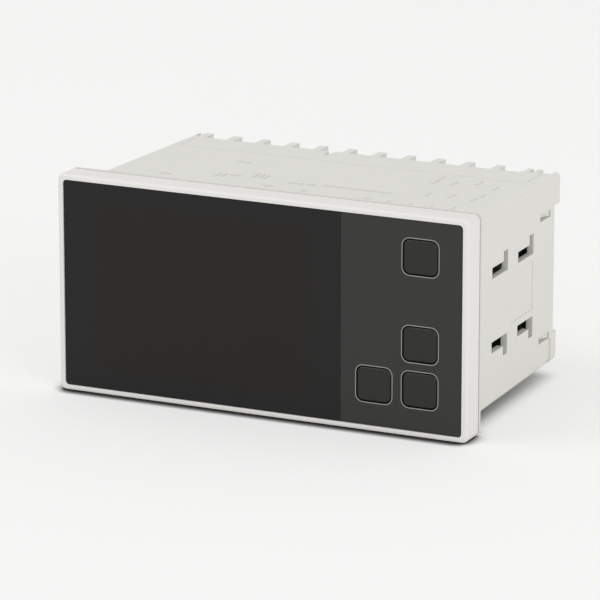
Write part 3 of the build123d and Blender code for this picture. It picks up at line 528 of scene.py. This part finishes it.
def screw_profile():
    """Pairs of radius and depth from the tip to the middle of the head, with the seat at depth 0."""
    profile = [(THREAD_ROOT - TIP_STEP, -SCREW_LENGTH)]
    for i in range(int((SCREW_LENGTH - PLAIN_LENGTH) / THREAD_PITCH)):
        depth = -SCREW_LENGTH + TIP_LEAD + i * THREAD_PITCH
        profile += [(THREAD_ROOT, depth), (SHANK_RADIUS, depth + THREAD_PITCH / 2)]
    profile += [(THREAD_ROOT, -NECK_LENGTH), (THREAD_ROOT, 0.0)]
    profile += [(HEAD_RADIUS - HEAD_CHAMFER, 0.0), (HEAD_RADIUS, HEAD_CHAMFER)]
    return profile + [(HEAD_RADIUS - inset, HEAD_HEIGHT - drop) for inset, drop in HEAD_DOME]


def screw_mesh():
    """One terminal screw at the origin, seat at Y 0 and head towards +Y, with a cross recess."""
    steel = MATERIALS["screw_steel"]
    bm = bmesh.new()
    lathe(bm, screw_profile(), SCREW_SEGMENTS)
    screw = link_mesh("screw_form", bm, steel)
    bottom = HEAD_HEIGHT - SLOT_DEPTH
    top = HEAD_HEIGHT + SLOT_OVERCUT
    for across, upright in ((SLOT_REACH, SLOT_WIDTH / 2), (SLOT_WIDTH / 2, SLOT_REACH)):
        bm = bmesh.new()
        soft_box(bm, Vector((-across, bottom, -upright)), Vector((across, top, upright)), SLOT_EDGE)
        cutter = link_mesh("recess_form", bm, steel)
        cut = screw.modifiers.new("recess", "BOOLEAN")
        cut.object = cutter
        cut.operation = "DIFFERENCE"
        cut.solver = "EXACT"
        shaped = evaluated_mesh(screw)
        screw.modifiers.clear()
        screw.data = shaped
        bpy.data.objects.remove(cutter)
    bpy.data.objects.remove(screw)
    return shaped


def linked_vertices(start):
    """A vertex and all that edges join to it."""
    group = [start]
    seen = {start}
    for vertex in group:
        for edge in vertex.link_edges:
            other = edge.other_vert(vertex)
            if other not in seen:
                seen.add(other)
                group.append(other)
    return group


def terminal_places():
    """The middle of the rear face of each clamp plate, the upper row first, from low X to high X."""
    bm = bmesh.new()
    bm.from_mesh(frame["nodes"]["terminal_clamps"].data)
    bmesh.ops.remove_doubles(bm, verts=bm.verts, dist=WELD_REACH * MM)
    seen = set()
    places = []
    for start in bm.verts:
        if start in seen:
            continue
        group = linked_vertices(start)
        seen.update(group)
        low = Vector([min(v.co[i] for v in group) for i in range(3)])
        high = Vector([max(v.co[i] for v in group) for i in range(3)])
        places.append(Vector(((low.x + high.x) / 2, high.y, (low.z + high.z) / 2)))
    bm.free()
    return sorted(places, key=lambda p: (-p.z, p.x))


def terminal_screws(places):
    """A detailed screw in each terminal; each one stops at its own angle."""
    shaped = screw_mesh()
    bm = bmesh.new()
    for index, place in enumerate(places):
        turn = Matrix.Rotation(radians((index * SCREW_TURN) % QUARTER_TURN), 4, "Y")
        one = shaped.copy()
        one.transform(Matrix.Translation(place) @ turn)
        bm.from_mesh(one)
        bpy.data.meshes.remove(one)
    screws = link_mesh("terminal_screw_set", bm, MATERIALS["screw_steel"], SCREW_SMOOTH_ANGLE)
    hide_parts("terminal_screws")
    finish_piece(screws)


# Plain numbers beside the terminals

NUMBER_HEIGHT = 2.1
NUMBER_BOLD = 0.06
NUMBER_RAISE = 0.25
NUMBER_ROUNDNESS = 3

# Height of each row of numbers above or below the middle
NUMBER_LEVEL = 12.6

# The size of the font for each millimetre that its numbers are high
FONT_SCALE = 1.35

# How far the base's rear face lies behind the case
BASE_FLANGE = 1.2


def number_mesh(text):
    """A number as a solid in the XY plane, in metres, centred on the origin."""
    curve = bpy.data.curves.new(f"form_{text}", "FONT")
    curve.body = text
    curve.size = NUMBER_HEIGHT * MM * FONT_SCALE
    curve.extrude = NUMBER_RAISE * MM
    curve.offset = NUMBER_BOLD * MM
    curve.align_x = "CENTER"
    curve.align_y = "CENTER"
    curve.resolution_u = NUMBER_ROUNDNESS
    holder = bpy.data.objects.new(f"form_{text}", curve)
    bpy.context.scene.collection.objects.link(holder)
    shaped = evaluated_mesh(holder)
    bpy.data.objects.remove(holder)
    return shaped


def terminal_numbers(places):
    """A plain moulded number beside each terminal, on the rear face of the base."""
    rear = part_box("case")[1].y + BASE_FLANGE * MM
    facing = Matrix.Rotation(radians(180), 4, "Z") @ Matrix.Rotation(radians(90), 4, "X")
    bm = bmesh.new()
    for index, place in enumerate(places):
        level = NUMBER_LEVEL * MM if place.z > 0 else -NUMBER_LEVEL * MM
        one = number_mesh(str(index + 1))
        one.transform(Matrix.Translation((place.x, rear, level)) @ facing)
        bm.from_mesh(one)
        bpy.data.meshes.remove(one)
    numbers = link_mesh("terminal_numbers", bm, MATERIALS["base_plastic"])
    finish_piece(numbers)


# Plain strokes in relief on the top of the case

# The case sides lean in by this draft
CASE_DRAFT = radians(1.0)

MARK_RAISE = 0.24
MARK_SINK = 0.15
MARK_EDGE = 0.06

# Each stroke's middle across, middle along the depth, width across and length along the depth
STROKES = (
    (-31.2, 11.0, 3.0, 0.35), (-20.7, 15.3, 0.4, 3.2), (-19.3, 15.5, 0.4, 2.6), (-16.9, 16.1, 2.6, 0.4),
    (-13.0, 18.1, 0.4, 3.8), (-11.6, 18.1, 0.4, 3.4), (-10.2, 17.7, 0.4, 3.0), (-21.1, 28.8, 3.4, 0.4),
    (-6.2, 10.3, 2.4, 0.35), (-9.0, 6.7, 2.0, 0.35), (-2.1, 15.2, 3.2, 0.9), (1.5, 15.4, 2.2, 0.6),
    (2.4, 9.7, 0.5, 1.6), (17.4, 9.1, 1.8, 0.5), (22.5, 7.7, 0.5, 2.6), (27.7, 7.6, 0.5, 3.0),
    (32.6, 7.4, 0.5, 2.6), (37.1, 8.9, 0.5, 3.2), (27.5, 18.3, 0.5, 3.0), (32.5, 19.4, 0.6, 3.8),
    (38.1, 18.2, 0.5, 2.6), (38.3, 22.4, 0.5, 2.2), (23.7, 30.1, 0.9, 4.0), (23.8, 34.3, 0.5, 2.6),
    (28.1, 30.3, 0.6, 3.4), (32.7, 33.2, 0.8, 3.6), (38.0, 29.8, 0.5, 2.8),
)
LONG_LINE = (12.0, 15.8, 15.9, 0.35)


def case_top(y):
    """The height of the drafted top wall at a depth; all in metres."""
    low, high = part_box("case")
    return high.z - (y - low.y) * tan(CASE_DRAFT)


def top_marks():
    """Plain strokes, like the sparse moulded marks on the top wall."""
    bm = bmesh.new()
    for x, y, width, depth in STROKES + (LONG_LINE,):
        top = case_top(y * MM) / MM
        low = Vector((x - width / 2, y - depth / 2, top - MARK_SINK))
        high = Vector((x + width / 2, y + depth / 2, top + MARK_RAISE))
        soft_box(bm, low, high, MARK_EDGE)
    marks = link_mesh("top_marks", bm, MATERIALS["case_plastic"])
    finish_piece(marks)


# Floor

# Half the floor's width, in metres
FLOOR_HALF = 6.0
FLOOR_CORNERS = ((-1, -1), (1, -1), (1, 1), (-1, 1))

FLOOR_ROUGHNESS = 0.9
FLOOR_GLOW = 0.5
FLOOR_CLOUDS = 240.0
FLOOR_TONES = ((0.905, 0.905, 0.9, 1.0), (0.925, 0.925, 0.92, 1.0))
# The colour of the shade painted into the floor near what stands on it
PAINTED_SHADE_COLOUR = (0.01, 0.01, 0.01, 1.0)
SKY_SAMPLES = 16

# Painted contact shade: how the floor colour is painted darker near what stands on it: reach, the
# shares of open sky at which it is darkest and clear, and its darkest tone
CONTACT_SHADE = (4.0, 0.43, 0.8, 0.02)
NEAR_SHADE = (5.0, 0.1, 0.87, 0.2)

# The painted contact shade looks for sky round a line that leans back, so it is longest in front of the
# bezel
CONTACT_LEAN = (0.0, 0.85, 0.53)


def painted_floor_shade(finish, reach, shut, clear, darkest, lean=None):
    """A painted shade tone from the darkest to 1 as the share of sky within a reach goes from shut to
    clear.
    """
    sky = finish.add("ShaderNodeAmbientOcclusion", samples=SKY_SAMPLES)
    sky.inputs["Distance"].default_value = reach * MM
    if lean:
        side = finish.add("ShaderNodeCombineXYZ")
        for socket, value in zip(side.inputs, lean):
            socket.default_value = value
        finish.join(side.outputs["Vector"], sky.inputs["Normal"])
    return finish.remap(sky.outputs["AO"], (shut, clear), (darkest, 1.0))


def floor_paper_and_painted_shade():
    """Pale paper that shows the object's shadow, and glows where it is seen directly; there its colour
    is also painted darker near what stands on it, as painted contact shade.
    """
    finish = Finish("floor_paper_and_painted_shade", FLOOR_ROUGHNESS, specular=0.0)
    clear = finish.blend(finish.noise(FLOOR_CLOUDS), *FLOOR_TONES)
    contact = painted_floor_shade(finish, *CONTACT_SHADE, CONTACT_LEAN)
    near = painted_floor_shade(finish, *NEAR_SHADE)
    # Painted shade: the paper colour is darkened near what stands on it, only where the floor is seen
    # directly
    painted_shade_loss = finish.maths("SUBTRACT", 1.0, finish.maths("MULTIPLY", contact, near))
    shade = finish.maths("MULTIPLY", painted_shade_loss, finish.seen_directly(1.0))
    paper = finish.blend(shade, clear, PAINTED_SHADE_COLOUR)
    finish.colour(paper)
    glow = finish.add("ShaderNodeEmission")
    finish.join(paper, glow.inputs["Color"])
    mix = finish.add("ShaderNodeMixShader")
    finish.join(finish.seen_directly(FLOOR_GLOW), mix.inputs["Fac"])
    finish.join(finish.shader.outputs["BSDF"], mix.inputs[1])
    finish.join(glow.outputs["Emission"], mix.inputs[2])
    finish.join(mix.outputs["Shader"], finish.tree.nodes["Material Output"].inputs["Surface"])
    return finish.material


def floor():
    """A large pale floor under the bezel."""
    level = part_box("front_bezel")[0].z
    bm = bmesh.new()
    bm.faces.new([bm.verts.new((x * FLOOR_HALF, y * FLOOR_HALF, level)) for x, y in FLOOR_CORNERS])
    sheet = link_mesh("studio_floor", bm, floor_paper_and_painted_shade())


# Lamps and world, in metres and watts

WORLD_COLOUR = (1.0, 1.0, 0.995, 1.0)
WORLD_LEVEL = 0.8
LAMP_TARGET = Vector((0.0, 0.02, 0.0))
LAMPS = (
    {"name": "softbox_left", "place": Vector((-0.9, -0.5, 1.5)), "size": 1.1, "power": 6.0},
    {"name": "softbox_right", "place": Vector((1.3, -0.8, 0.6)), "size": 0.9, "power": 6.0},
)


def area_lamp(name, place, size, power):
    """A round soft lamp that shines at the object."""
    lamp = bpy.data.lights.new(name, "AREA")
    lamp.shape = "DISK"
    lamp.size = size
    lamp.energy = power
    holder = bpy.data.objects.new(name, lamp)
    holder.location = place
    holder.rotation_euler = (LAMP_TARGET - place).to_track_quat("-Z", "Y").to_euler()
    bpy.context.scene.collection.objects.link(holder)


def studio():
    """Soft even light: a pale world and two large lamps."""
    world = bpy.data.worlds.new("studio_world")
    world.use_nodes = True
    background = world.node_tree.nodes["Background"]
    background.inputs["Color"].default_value = WORLD_COLOUR
    background.inputs["Strength"].default_value = WORLD_LEVEL
    bpy.context.scene.world = world
    for lamp in LAMPS:
        area_lamp(**lamp)


# Camera, fitted to the corners of the bezel and the case

CAMERA_PLACE = Vector((409.64, -847.89, 256.66)) * MM
CAMERA_AZIMUTH = radians(25.45)
CAMERA_ELEVATION = radians(15.26)
CAMERA_LENS = 276.0
CAMERA_SENSOR = 36.0

# Nothing nearer or farther than this is shown, in metres
CAMERA_NEAR = 0.05
CAMERA_FAR = 20.0


def camera():
    """A long lens at the photograph's viewing angle."""
    lens = bpy.data.cameras.new("camera")
    lens.lens = CAMERA_LENS
    lens.sensor_width = CAMERA_SENSOR
    lens.clip_start = CAMERA_NEAR
    lens.clip_end = CAMERA_FAR
    holder = bpy.data.objects.new("camera", lens)
    pan = Matrix.Rotation(CAMERA_AZIMUTH, 4, "Z")
    tilt = Matrix.Rotation(radians(90) - CAMERA_ELEVATION, 4, "X")
    holder.matrix_world = Matrix.Translation(CAMERA_PLACE) @ pan @ tilt
    bpy.context.scene.collection.objects.link(holder)
    bpy.context.scene.camera = holder


bpy.context.scene.view_settings.view_transform = "Standard"
camera()
studio()
floor()
dress_frame()
for key in KEYS:
    key_ring(key)
terminals = terminal_places()
terminal_screws(terminals)
terminal_numbers(terminals)
top_marks()
